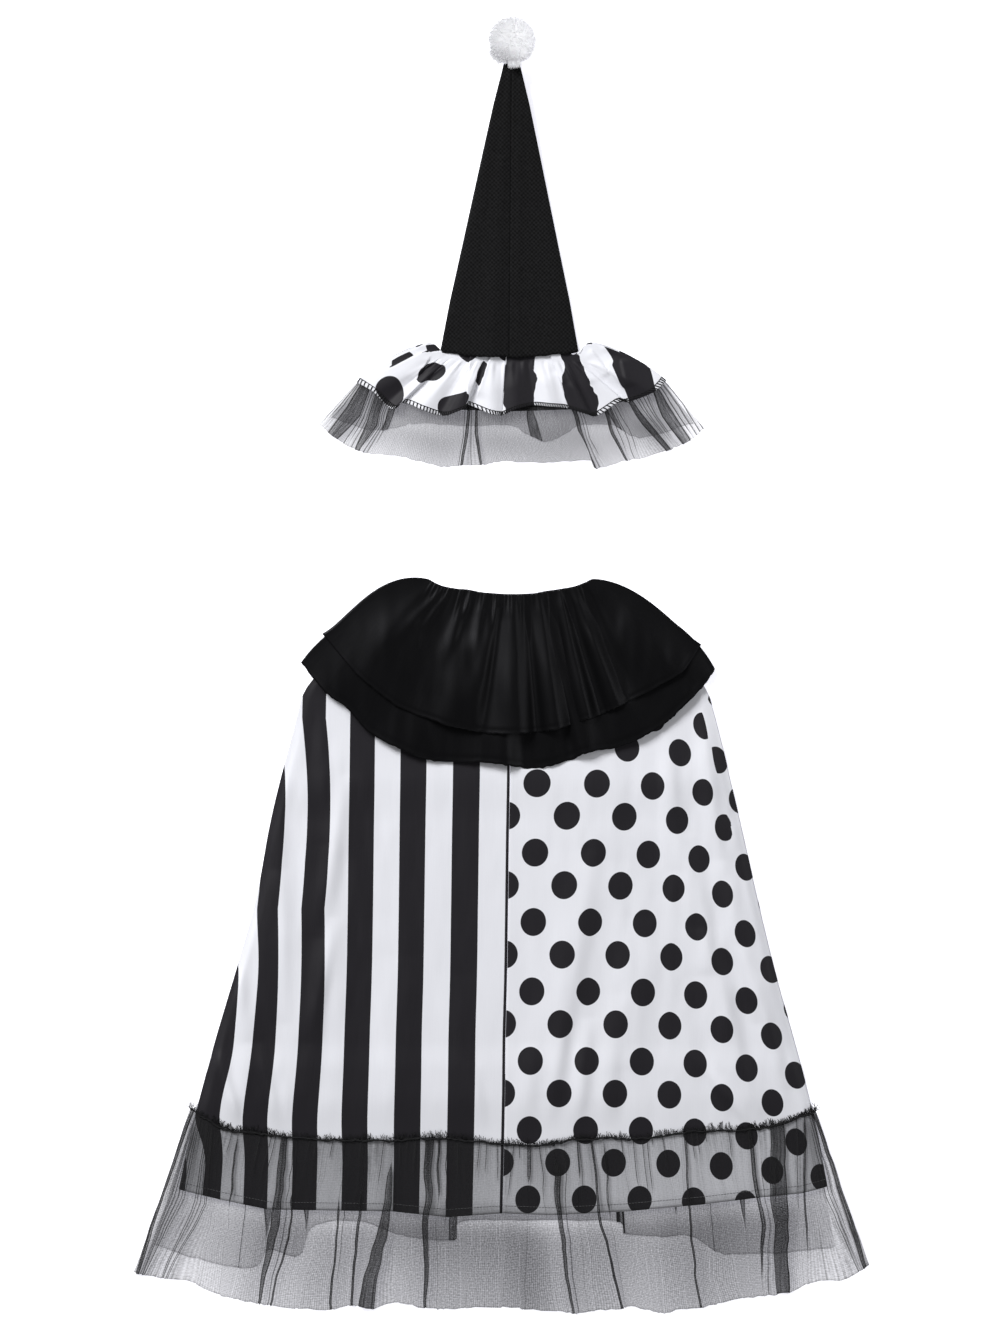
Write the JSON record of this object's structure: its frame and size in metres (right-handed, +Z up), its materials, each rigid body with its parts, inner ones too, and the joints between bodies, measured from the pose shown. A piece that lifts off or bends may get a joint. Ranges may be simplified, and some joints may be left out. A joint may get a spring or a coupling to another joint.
{
  "type": "jester cape and hat set, laid flat",
  "caption": "Jester cape, half striped and half dotted, with a tiered satin collar and a tulle hem frill, and a tall felt cone hat with a ruffle and a pompom, laid flat as a set.",
  "frame": {"origin": "middle of the set's footprint, on the surface that it lies on", "axes": "+Y from the cape's hem towards the hat's pompom, +X to the dotted half of the cape, +Z up off the surface"},
  "size_m": [0.772, 1.3584, 0.045],
  "materials": {
    "striped_cloth": "white polyester printed with black stripes, faint sheen",
    "dotted_cloth": "white polyester printed with black dots, faint sheen",
    "satin": "black satin, soft sheen",
    "tulle": "black sheer net",
    "felt": "black felt, matt",
    "yarn": "white fluffy yarn"
  },
  "bodies": {
    "root": {"cape_front_striped": "striped_cloth", "cape_front_dotted": "dotted_cloth", "cape_back_striped": "striped_cloth", "cape_back_dotted": "dotted_cloth", "collar_upper_front": "satin", "collar_lower_front": "satin", "collar_lower_back": "satin", "collar_upper_back": "satin", "hem_frill_front": "tulle", "hem_frill_back": "tulle", "hat_cone": "felt", "hat_ruffle_front_dotted": "dotted_cloth", "hat_ruffle_front_striped": "striped_cloth", "hat_ruffle_back_dotted": "dotted_cloth", "hat_ruffle_back_striped": "striped_cloth", "hat_edging_front": "tulle", "hat_edging_back": "tulle", "hat_pompom": "yarn"}
  },
  "joints": []
}
